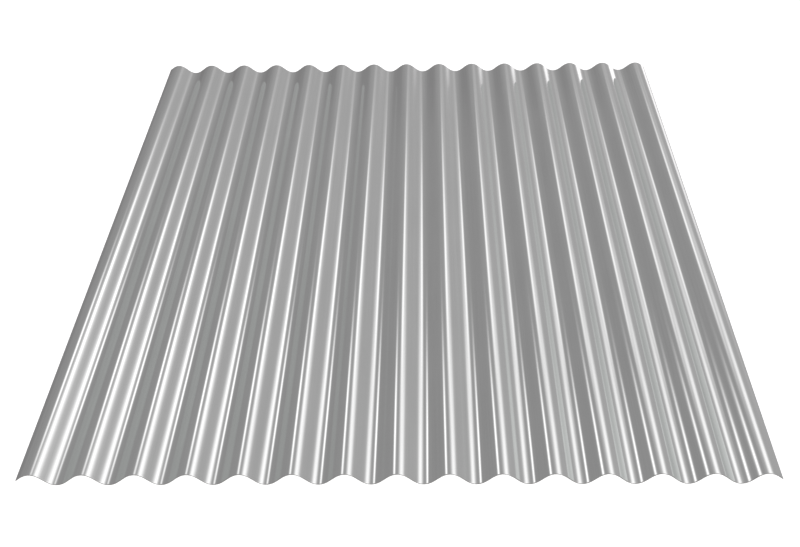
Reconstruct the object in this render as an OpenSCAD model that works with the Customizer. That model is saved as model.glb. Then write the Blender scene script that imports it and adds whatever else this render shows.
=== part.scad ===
// Corrugated metal roofing and cladding sheet, lying flat.
//
// One length of zinc-coated steel coil, roll-formed into even sine waves and
// sheared square at both ends. It has no holes, laps or layers of its own.
//
// Axes: +Y runs along the corrugations, X runs across them and +Z is up.
// The origin is at the middle of the sheet, level with the undersides of the
// troughs, so the sheet rests on the plane z = 0. All sizes are millimetres.

/* [Corrugation] */
// Pitch, from one crest to the next
wave_pitch = 76; // [60:1:130]
// Depth, from the top of a trough to the top of a crest
wave_depth = 18; // [10:0.5:30]
// How many crests the sheet has
crest_count = 15; // [3:1:24]
// How far each long edge runs on beyond its outermost crest
edge_past_crest = 20.5; // [8:0.5:34]

/* [Sheet] */
// Length along the corrugations
sheet_length = 1500; // [300:10:3600]
// Thickness of the coated steel, measured square to its surface
sheet_thickness = 1.2; // [0.4:0.05:1.5]

/* [Smoothness] */
// Flat strips that each wave is rolled in, an even number
strips_per_wave = 24; // [16:2:36]

/* [Hidden] */

strip_width = wave_pitch / strips_per_wave;

// Crests and troughs fall in the middle of a strip. Dividing by the cosine of
// half a strip's phase brings those strips to the full height of the wave.
wave_amplitude = wave_depth / 2 / cos(180 / strips_per_wave);

// Half the sheet's width, along the middle of its thickness
half_width = (crest_count - 1) / 2 * wave_pitch + edge_past_crest;

// Strip joints on each side of the centre. The last one stays at least a
// quarter of a strip clear of the long edge.
joints_per_side = floor(half_width / strip_width + 1 / 4);

// Height of the middle of the thickness, above or below its mean level
function wave_height(x) =
    wave_amplitude * cos(360 * (x / wave_pitch - (crest_count - 1) / 2));

function wave_point(x) = [x, wave_height(x)];

// The middle of the sheet's thickness, from one long edge to the other
mid_line = [
    wave_point(-half_width),
    for (i = [-joints_per_side : joints_per_side - 1])
        wave_point((i + 1 / 2) * strip_width),
    wave_point(half_width)
];

// Upward unit normal of the strip that starts at point i of the middle line
function strip_normal(i) =
    let (along = mid_line[i + 1] - mid_line[i])
    [-along.y, along.x] / norm(along);

// Point i of the middle line, moved by a distance square to both of the
// strips that meet there, so that every strip keeps the same thickness
function offset_point(i, distance) =
    let (
        last = len(mid_line) - 1,
        before = strip_normal(max(i - 1, 0)),
        after = strip_normal(min(i, last - 1))
    )
    mid_line[i] + distance * (before + after) / (1 + before * after);

// The sheet's section: along its upper face, then back along its lower face
section_outline = [
    for (i = [0 : len(mid_line) - 1])
        offset_point(i, sheet_thickness / 2),
    for (i = [len(mid_line) - 1 : -1 : 0])
        offset_point(i, -sheet_thickness / 2)
];

// The whole sheet, formed from one piece
module corrugated_sheet() {
    color("silver")
        translate([0, sheet_length / 2, (wave_depth + sheet_thickness) / 2])
            rotate([90, 0, 0])
                linear_extrude(sheet_length)
                    polygon(section_outline);
}

corrugated_sheet();
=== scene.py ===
"""Corrugated metal sheet: its finish, a plain white studio floor, soft lights and the camera.

Everything is in metres, in the part's own frame: +Y along the corrugations, X across them, +Z up,
with the sheet's troughs resting on the floor at z = 0.
"""
from math import cos, pi, radians, sin

import bpy
from mathutils import Matrix, Vector

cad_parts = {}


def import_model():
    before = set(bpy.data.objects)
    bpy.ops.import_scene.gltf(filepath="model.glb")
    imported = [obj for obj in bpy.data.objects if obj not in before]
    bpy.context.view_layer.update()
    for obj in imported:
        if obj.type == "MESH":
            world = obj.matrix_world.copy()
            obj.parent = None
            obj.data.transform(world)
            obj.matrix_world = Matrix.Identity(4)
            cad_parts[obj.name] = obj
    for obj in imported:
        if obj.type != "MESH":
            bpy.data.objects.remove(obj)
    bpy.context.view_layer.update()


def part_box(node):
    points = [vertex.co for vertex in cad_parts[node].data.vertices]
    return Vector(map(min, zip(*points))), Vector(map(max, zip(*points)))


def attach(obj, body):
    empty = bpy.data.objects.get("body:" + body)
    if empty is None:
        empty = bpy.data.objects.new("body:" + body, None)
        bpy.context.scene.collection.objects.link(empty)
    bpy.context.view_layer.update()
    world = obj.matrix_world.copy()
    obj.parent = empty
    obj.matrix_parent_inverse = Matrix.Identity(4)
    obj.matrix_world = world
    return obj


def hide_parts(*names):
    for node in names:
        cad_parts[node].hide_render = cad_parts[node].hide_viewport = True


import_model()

MM = 0.001

# ---------------------------------------------------------------- sizes of the sheet

SHEET_LOW, SHEET_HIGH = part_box("corrugated_sheet")
PITCH = 76 * MM
CRESTS = 15
EDGE_PAST_CREST = 20.5 * MM
THICKNESS = 1.2 * MM
LENGTH = SHEET_HIGH.y - SHEET_LOW.y
DEPTH = SHEET_HIGH.z - SHEET_LOW.z - THICKNESS
MID_HEIGHT = (DEPTH + THICKNESS) / 2

# The finished mesh stays this far inside the construction's own faces
INSET = 0.1 * MM
HALF_WIDTH = (CRESTS - 1) / 2 * PITCH + EDGE_PAST_CREST - INSET

# The flanks of the waves are about two degrees steeper than a plain cosine's. The amount was
# chosen by how the highlights then fall, and isn't a measured one. The construction's own waves
# are a plain cosine, up to about 0.3 mm away from these.
STEEPER_FLANKS = 0.18 * MM

STRIPS_PER_WAVE = 48
ROWS = 10
END_ROW = 1.5 * MM
EDGE_ROUND = 0.1 * MM
MERGE_WITHIN = 0.01 * MM

# Sizes of the finish's patterns across the waves, along the sheet and upwards. The streaks are
# about 0.3 mm wide on real sheet and the tear marks about 0.15 mm, and both are drawn coarser so
# that they show.
STREAK_SIZE = (2.5 * MM, 420 * MM, 2.5 * MM)
CLOUD_SIZE = (60 * MM, 180 * MM, 60 * MM)
TEAR_SIZE = (0.6 * MM, 0.6 * MM, 4 * MM)

# The colour sockets of a Mix node, which share their names with its plain number sockets
COLOUR_A, COLOUR_B = 6, 7

# ---------------------------------------------------------------- helpers


def linear(hex_colour):
    """An sRGB hex colour such as "#9fa3a2" as the linear RGBA that Blender works in."""
    channels = [int(hex_colour[i:i + 2], 16) / 255 for i in (1, 3, 5)]
    return (*(c / 12.92 if c <= 0.04045 else ((c + 0.055) / 1.055) ** 2.4 for c in channels), 1.0)


def add_node(tree, kind, links=(), **settings):
    """Adds a node to a tree. settings are the node's own properties, and links are pairs of an
    input and either the output socket that feeds it or its fixed value."""
    node = tree.nodes.new(kind)
    for name, value in settings.items():
        setattr(node, name, value)
    for socket, source in links:
        if isinstance(source, bpy.types.NodeSocket):
            tree.links.new(source, node.inputs[socket])
        else:
            node.inputs[socket].default_value = source
    return node


def deselect_all():
    bpy.ops.object.select_all(action="DESELECT")


def select_vertices(mesh, wanted):
    """In object mode: selects just the vertices for which wanted(position) is true."""
    for part in (mesh.polygons, mesh.edges):
        for item in part:
            item.select = False
    for vertex in mesh.vertices:
        vertex.select = wanted(vertex.co)


def cut_plane(place, normal, trim=False):
    """In edit mode: cuts every face where a plane crosses it, and trims what is beyond it."""
    bpy.ops.mesh.select_all(action="SELECT")
    bpy.ops.mesh.bisect(plane_co=place, plane_no=normal, clear_outer=trim)


def apply_modifier(piece, name, kind, **settings):
    modifier = piece.modifiers.new(name, kind)
    for setting, value in settings.items():
        setattr(modifier, setting, value)
    bpy.ops.object.modifier_apply(modifier=modifier.name)


# ---------------------------------------------------------------- materials

# Light that the zinc throws back, a little greener than what falls on it
ZINC = linear("#f0f4f2")


def new_material(name):
    """A material, with its node tree and its Principled shader."""
    material = bpy.data.materials.new(name)
    material.use_nodes = True
    return material, material.node_tree, material.node_tree.nodes["Principled BSDF"]


def noise(tree, size, detail, roughness=0.5):
    """A noise pattern fixed to the sheet, whose features have this size along x, y and z."""
    where = add_node(tree, "ShaderNodeTexCoord").outputs["Object"]
    scaled = add_node(tree, "ShaderNodeMapping",
                      [("Vector", where), ("Scale", [1 / length for length in size])])
    return add_node(tree, "ShaderNodeTexNoise",
                    [("Vector", scaled.outputs[0]), ("Scale", 1.0), ("Detail", detail),
                     ("Roughness", roughness)]).outputs[0]


def two_tone(tree, factor, dull, bright):
    """A colour that goes from dull to bright as the factor goes from 0 to 1."""
    mix = add_node(tree, "ShaderNodeMix",
                   [("Factor", factor), (COLOUR_A, linear(dull)), (COLOUR_B, linear(bright))],
                   data_type="RGBA")
    return mix.outputs[2]


def relief(tree, height, strength, distance):
    """The normal of a surface that a pattern raises by this distance, at this strength."""
    return add_node(tree, "ShaderNodeBump",
                    [("Height", height), ("Strength", strength),
                     ("Distance", distance)]).outputs[0]


def zinc_coated_steel():
    """Hot-dip zinc-coated steel, skin-passed and roll-formed. Skin-passing flattens the zinc's
    crystals into an even, bright finish with fine streaks along the rolling direction, and the
    coating's levelling leaves it a little cloudy."""
    material, tree, shader = new_material("zinc_coated_steel")
    shader.inputs["Metallic"].default_value = 1.0
    streaks = noise(tree, STREAK_SIZE, detail=4.0, roughness=0.6)
    clouds = noise(tree, CLOUD_SIZE, detail=3.0)

    # Both together, from 0 where the coating is dull to 1 where it is bright. The noise keeps
    # mostly to the middle of its range, between 0.3 and 0.7.
    finish = add_node(tree, "ShaderNodeMix",
                      [("Factor", 0.4), ("A", streaks), ("B", clouds)]).outputs[0]
    shade = add_node(tree, "ShaderNodeMapRange",
                     [("Value", finish), ("From Min", 0.3), ("From Max", 0.7)]).outputs[0]
    gloss = add_node(tree, "ShaderNodeMapRange",
                     [("Value", finish), ("From Min", 0.3), ("From Max", 0.7),
                      ("To Min", 0.095), ("To Max", 0.065)]).outputs[0]
    tree.links.new(two_tone(tree, shade, "#ebefed", "#f5f9f7"), shader.inputs["Base Color"])
    tree.links.new(gloss, shader.inputs["Roughness"])
    tree.links.new(relief(tree, streaks, 0.05, 0.02 * MM), shader.inputs["Normal"])
    return material


def sheared_steel():
    """Bare steel where the sheet was cut. Shearing burnishes the upper part of the cut and tears
    the rest, which leaves a fine, dull grain across the thickness. The colours are darker than
    real cut steel, so that the thin edge shows against a white floor."""
    material, tree, shader = new_material("sheared_steel")
    shader.inputs["Metallic"].default_value = 0.85
    shader.inputs["Roughness"].default_value = 0.4
    tears = noise(tree, TEAR_SIZE, detail=3.0)
    tree.links.new(two_tone(tree, tears, "#8f8f8d", "#b2b1ae"), shader.inputs["Base Color"])
    tree.links.new(relief(tree, tears, 0.3, 0.05 * MM), shader.inputs["Normal"])
    return material


# ---------------------------------------------------------------- the sheet


def wave_height(x):
    """Height of the middle of the thickness above the floor, at a distance x from a crest."""
    along_wave = 2 * pi * x / PITCH
    swing = (DEPTH - INSET) / 2 + STEEPER_FLANKS
    return MID_HEIGHT + swing * cos(along_wave) - STEEPER_FLANKS * cos(3 * along_wave)


def rolled_sheet():
    """One wave is shaped from a flat grid and repeated across the sheet. The outer waves are
    trimmed to the long edges, and the skin is then given its thickness and softened cut edges."""
    deselect_all()
    bpy.ops.mesh.primitive_grid_add(x_subdivisions=STRIPS_PER_WAVE, y_subdivisions=ROWS, size=1)
    sheet = bpy.context.active_object
    sheet.name = sheet.data.name = "rolled_sheet"
    sheet.data.materials.append(zinc_coated_steel())
    sheet.data.materials.append(sheared_steel())
    bpy.ops.object.mode_set(mode="EDIT")
    bpy.ops.transform.resize(value=(PITCH, LENGTH, 1))
    bpy.ops.object.mode_set(mode="OBJECT")
    strip = PITCH / STRIPS_PER_WAVE
    for i in range(STRIPS_PER_WAVE + 1):
        x = (i - STRIPS_PER_WAVE / 2) * strip
        select_vertices(sheet.data, lambda place: abs(place.x - x) < strip / 4)
        bpy.ops.object.mode_set(mode="EDIT")
        bpy.ops.transform.translate(value=(0, 0, wave_height(x)))
        bpy.ops.object.mode_set(mode="OBJECT")

    apply_modifier(sheet, "waves", "ARRAY", count=CRESTS, use_relative_offset=False,
                   use_constant_offset=True, constant_offset_displace=(PITCH, 0, 0),
                   use_merge_vertices=True, merge_threshold=MERGE_WITHIN)
    bpy.ops.object.mode_set(mode="EDIT")
    bpy.ops.mesh.select_all(action="SELECT")
    bpy.ops.transform.translate(value=(-(CRESTS - 1) / 2 * PITCH, 0, 0))
    for side in (-1, 1):
        cut_plane((side * HALF_WIDTH, 0, 0), (side, 0, 0), trim=True)
        cut_plane((0, side * (LENGTH / 2 - END_ROW), 0), (0, side, 0))
    bpy.ops.object.mode_set(mode="OBJECT")

    apply_modifier(sheet, "thickness", "SOLIDIFY", thickness=THICKNESS - INSET / 2, offset=0,
                   use_even_offset=True, material_offset_rim=1)
    apply_modifier(sheet, "softened_edges", "BEVEL", width=EDGE_ROUND, segments=3,
                   limit_method="ANGLE", angle_limit=radians(50))
    bpy.ops.object.shade_smooth_by_angle(angle=radians(35))
    return sheet


sheet = rolled_sheet()
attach(sheet, "root")
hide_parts("corrugated_sheet")

# ---------------------------------------------------------------- studio

# The floor's side, and how far it lies below the troughs, so that the two never touch
FLOOR_SIDE = 60
FLOOR_GAP = 0.5 * MM

# Light of this colour looks a neutral grey once the zinc has mirrored it
NEUTRAL_IN_ZINC = [1 / channel for channel in ZINC[:3]]

# A ray straight from the metal has a depth of 1 or 2, by the way in which it was sampled, and a
# ray by way of another wave has 2 or 3. All of the first kind are below this depth, with those of
# the second kind that were sampled towards a light.
DIRECT_DEPTH = 2.5
# What is left of the window by way of another wave, and how much lighter the room is there
WINDOW_SEEN_TWICE = 0.35
HAZE = 0.035
# What the far ends of the valleys mirror of the dim side differs from the rest of it by this much
FAR_SHADE = -0.035

# A light's panel goes on past its edge for this many rims, by when its light has faded away
FADE_ROOM = 2.5

# The camera: its lens and sensor in millimetres, and its place from the middle of the sheet
LENS = 64.175
SENSOR = 36
EYE = (0.0415, -2.3510, 1.3150)


def studio_floor():
    """A plain white floor that glows a little, so that it stays white around the metal. The metal
    mirrors the room below in its place."""
    deselect_all()
    bpy.ops.mesh.primitive_plane_add(size=FLOOR_SIDE, location=(0, 0, -FLOOR_GAP))
    floor = bpy.context.active_object
    floor.name = "studio_floor"
    floor.visible_glossy = False
    material, _, shader = new_material("white_floor")
    shader.inputs["Base Color"].default_value = linear("#f4f4f4")
    shader.inputs["Roughness"].default_value = 0.9
    shader.inputs["Emission Color"].default_value = linear("#ffffff")
    shader.inputs["Emission Strength"].default_value = 0.85
    floor.data.materials.append(material)


def calculate(tree, operation, *values):
    """The result of a Math node, whose inputs are output sockets or numbers."""
    return add_node(tree, "ShaderNodeMath", list(enumerate(values)),
                    operation=operation).outputs[0]


def combine(tree, operation, *values):
    """One Math operation over several values in turn, for their sum or product."""
    result = values[0]
    for value in values[1:]:
        result = calculate(tree, operation, result, value)
    return result


def soft_step(tree, value, middle, softness):
    """Climbs smoothly from 0 to 1 about the middle, or falls if the softness is below zero."""
    scaled = calculate(tree, "MULTIPLY_ADD", value, 1 / softness, -middle / softness)
    return calculate(tree, "MULTIPLY_ADD", calculate(tree, "TANH", scaled), 0.5, 0.5)


def past(tree, angle, degrees, softness):
    """1 where an angle is past this many degrees, and 0 short of it."""
    return soft_step(tree, angle, radians(degrees), radians(softness))


def short_of(tree, angle, degrees, softness):
    """1 where an angle is short of this many degrees, and 0 past it."""
    return soft_step(tree, angle, radians(degrees), -radians(softness))


def first_mirror(tree, second=0.0):
    """1 for what the metal mirrors directly, and second for what it mirrors by way of another
    wave, which keeps the far slopes of the waves evenly grey."""
    depth = add_node(tree, "ShaderNodeLightPath").outputs["Ray Depth"]
    direct = calculate(tree, "LESS_THAN", depth, DIRECT_DEPTH)
    return calculate(tree, "MULTIPLY_ADD", direct, 1 - second, second)


def soft_light(name, centre, half_width, half_length, rims, level, turn, slope, mirrored):
    """A soft box beyond the sheet's far end that shines down. Its light falls off smoothly
    towards its rims, over the distances that rims gives for its left, right, near and far sides.
    turn swings it about the vertical and slope lifts its far side. A mirrored one is the same
    thing beyond the near end."""
    left, right, near, far = rims
    if mirrored:
        centre = (centre[0], -centre[1], centre[2])
        turn = pi - turn
        left, right = right, left
    size = (2 * (half_width + FADE_ROOM * max(left, right)),
            2 * (half_length + FADE_ROOM * max(near, far)))
    data = bpy.data.lights.new(name, "AREA")
    data.shape = "RECTANGLE"
    data.size, data.size_y = size
    data.energy = 1.0
    data.color = NEUTRAL_IN_ZINC
    data.use_nodes = True
    tree = data.node_tree
    place = add_node(tree, "ShaderNodeNewGeometry").outputs["Parametric"]
    split = add_node(tree, "ShaderNodeSeparateXYZ", [(0, place)])
    fades = []
    for axis, whole, half, lower, upper in (("X", size[0], half_width, left, right),
                                            ("Y", size[1], half_length, near, far)):
        across = split.outputs[axis]
        fades.append(soft_step(tree, across, 0.5 - half / whole, lower / whole))
        fades.append(soft_step(tree, across, 0.5 + half / whole, -upper / whole))
    # An area light of one watt has a brightness of 1 / (pi * area)
    strength = combine(tree, "MULTIPLY", *fades, first_mirror(tree),
                       level * pi * size[0] * size[1])
    tree.links.new(strength, tree.nodes["Emission"].inputs["Strength"])
    light = bpy.data.objects.new(name, data)
    bpy.context.collection.objects.link(light)
    light.location = centre
    light.rotation_euler = (slope, 0, turn)
    light.visible_camera = False


def studio_lights():
    """A broad soft box over the right and a slim one over the left, beyond either end."""
    for end, mirrored in (("far", False), ("near", True)):
        soft_light("broad_light_" + end, centre=(0.55, 3.17, 1.87), half_width=0.25,
                   half_length=0.89, rims=(0.18, 0.30, 0.50, 0.54), level=0.84,
                   turn=radians(-4), slope=radians(-2.5), mirrored=mirrored)
        soft_light("slim_light_" + end, centre=(-0.80, 1.43, 1.41), half_width=0.15,
                   half_length=0.31, rims=(0.14, 0.15, 0.43, 0.28), level=1.65,
                   turn=radians(12.5), slope=radians(-17.5), mirrored=mirrored)


def room_walls(tree, around):
    """The brightness of the bare room: dim on the left, lighter towards the right, a little
    lighter again overhead to the right, and pale down near the floor."""
    dim = 0.21
    above_left = calculate(tree, "MULTIPLY", 0.035, past(tree, around, -92, 5))
    towards_right = calculate(tree, "MULTIPLY", 0.11, past(tree, around, -10, 50))
    overhead = combine(tree, "MULTIPLY", 0.05, past(tree, around, 17, 7),
                       short_of(tree, around, 40, 7))
    low_left = calculate(tree, "MULTIPLY", 0.49, short_of(tree, around, -128, 6))
    low_right = calculate(tree, "MULTIPLY", 0.35, past(tree, around, 155, 20))
    return combine(tree, "ADD", dim, above_left, towards_right, overhead, low_left, low_right)


def window(tree, around, towards_end):
    """The brightness of a tall, soft-edged window on the right."""
    brightness = 0.79
    width = combine(tree, "MULTIPLY", past(tree, around, 16, 10), short_of(tree, around, 46, 9))
    length = combine(tree, "MULTIPLY", past(tree, towards_end, 25, 6),
                     short_of(tree, towards_end, 55, 6.5))
    return combine(tree, "MULTIPLY", brightness, width, length,
                   first_mirror(tree, WINDOW_SEEN_TWICE))


def horizon(tree, around, sideways, height):
    """The brightness of a strip along the horizon on the right, brightest beyond the sheet's end
    and dimmer beside it. The bright part's side leans in by a quarter of its height. What the
    very foot of the outermost flank mirrors is dark, which leaves the long edge a thin outline."""
    leaning = calculate(tree, "MULTIPLY_ADD", height, 0.25, sideways)
    beyond = combine(tree, "MULTIPLY", 0.98, short_of(tree, leaning, 24.2, 0.25),
                     short_of(tree, height, 2.4, 3))
    beside = combine(tree, "MULTIPLY", 0.66, short_of(tree, sideways, 31.5, 3.5),
                     short_of(tree, height, 1.2, 1.4), past(tree, height, -8, 2))
    left_at_foot = 0.15
    above_foot = calculate(tree, "MULTIPLY_ADD", short_of(tree, around, 97.6, 0.5),
                           1 - left_at_foot, left_at_foot)
    return combine(tree, "MULTIPLY", calculate(tree, "MAXIMUM", beyond, beside),
                   past(tree, sideways, 8, 3), above_foot)


def world():
    """The room that the metal mirrors. around is the angle about the sheet's length, from
    straight up towards the right, towards_end is how far a direction leans towards either end of
    the sheet, sideways is its angle from the sheet's length on the level, and height is its angle
    above the horizon. Both ends of the room are alike."""
    sky = bpy.data.worlds.new("studio")
    bpy.context.scene.world = sky
    sky.use_nodes = True
    tree = sky.node_tree
    where = add_node(tree, "ShaderNodeTexCoord").outputs["Generated"]
    x, y, z = add_node(tree, "ShaderNodeSeparateXYZ", [(0, where)]).outputs
    ahead = calculate(tree, "ABSOLUTE", y)
    around = calculate(tree, "ARCTAN2", x, z)
    towards_end = calculate(tree, "ARCSINE", ahead)
    sideways = calculate(tree, "ARCTAN2", x, ahead)
    height = calculate(tree, "ARCSINE", z)

    # What the waves mirror of each other is a little lighter than the room itself
    haze = calculate(tree, "MULTIPLY_ADD", first_mirror(tree), -HAZE, HAZE)
    # The dim side is dimmer still where the far ends of the valleys mirror it
    far_shade = combine(tree, "MULTIPLY", FAR_SHADE, past(tree, towards_end, 65.2, 0.7),
                        short_of(tree, around, -55, 12))
    level = combine(tree, "ADD", room_walls(tree, around), window(tree, around, towards_end),
                    horizon(tree, around, sideways, height), haze, far_shade)
    room = add_node(tree, "ShaderNodeMix",
                    [("Factor", level), (COLOUR_A, (0, 0, 0, 1)),
                     (COLOUR_B, (*NEUTRAL_IN_ZINC, 1))],
                    data_type="RGBA", clamp_factor=False)

    # Beyond the floor's edge the camera sees a plain white backdrop
    seen = add_node(tree, "ShaderNodeLightPath").outputs["Is Camera Ray"]
    backdrop = add_node(tree, "ShaderNodeMix",
                        [("Factor", seen), (COLOUR_A, room.outputs[2]),
                         (COLOUR_B, linear("#ffffff"))], data_type="RGBA")
    tree.links.new(backdrop.outputs[2], tree.nodes["Background"].inputs["Color"])


def camera():
    """Looks down along the sheet from beyond its near end, 31 degrees below level."""
    data = bpy.data.cameras.new("camera")
    data.lens = LENS
    data.sensor_width = SENSOR
    eye = bpy.data.objects.new("camera", data)
    bpy.context.collection.objects.link(eye)
    # In radians: how far it aims to the right of the sheet's length, looks below level, and
    # rolls anticlockwise
    aim, tilt, roll = -0.02076, 0.54414, -0.01576
    forward = Vector((sin(aim) * cos(tilt), cos(aim) * cos(tilt), -sin(tilt)))
    right = Vector((cos(aim), -sin(aim), 0))
    up = right.cross(forward)
    right, up = right * cos(roll) + up * sin(roll), -right * sin(roll) + up * cos(roll)
    turn = Matrix((right, up, -forward)).transposed().to_4x4()
    place = Vector(EYE) + Vector((0, 0, MID_HEIGHT))
    eye.matrix_world = Matrix.Translation(place) @ turn
    bpy.context.scene.camera = eye


studio_floor()
world()
studio_lights()
camera()
bpy.context.scene.view_settings.view_transform = "Standard"
